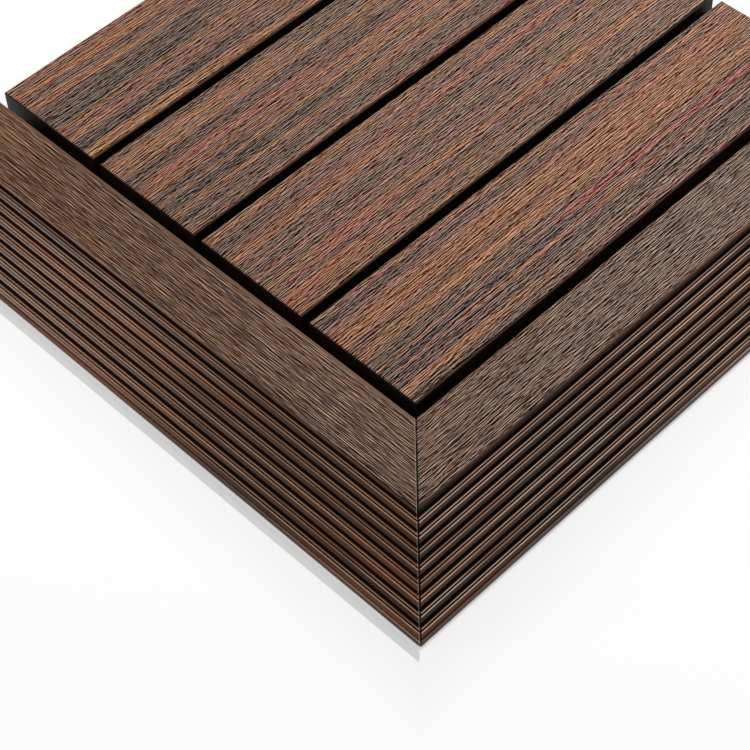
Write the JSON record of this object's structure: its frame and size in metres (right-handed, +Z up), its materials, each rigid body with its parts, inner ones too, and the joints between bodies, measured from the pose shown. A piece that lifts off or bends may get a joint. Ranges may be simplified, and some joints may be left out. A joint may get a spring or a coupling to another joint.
{
  "type": "interlocking deck tile",
  "caption": "Outside-corner interlocking deck tile: wood-grain composite slats on a moulded clip-together grid, edged by mitred ribbed ramp trims.",
  "frame": {"origin": "middle of the whole footprint, on the floor", "axes": "+X along the slats, away from the trimmed end; +Y across the slats, away from the trimmed side; +Z up"},
  "size_m": [0.3842, 0.3768, 0.025],
  "materials": {
    "composite_slat": "matt embossed wood-plastic composite, streaked brown",
    "composite_trim": "matt wood-plastic composite, fine lengthwise grain",
    "black_plastic": "moulded black polypropylene, slight sheen",
    "screw_steel": "zinc-plated steel"
  },
  "bodies": {
    "root": {"slat_1": "composite_slat", "slat_2": "composite_slat", "slat_3": "composite_slat", "slat_4": "composite_slat", "base_grid": "black_plastic", "slat_screws": "screw_steel", "left_edge_trim": "composite_trim", "right_edge_trim": "composite_trim", "left_trim_connector": "black_plastic", "right_trim_connector": "black_plastic", "corner_plate": "black_plastic", "trim_screws": "screw_steel"}
  },
  "joints": []
}
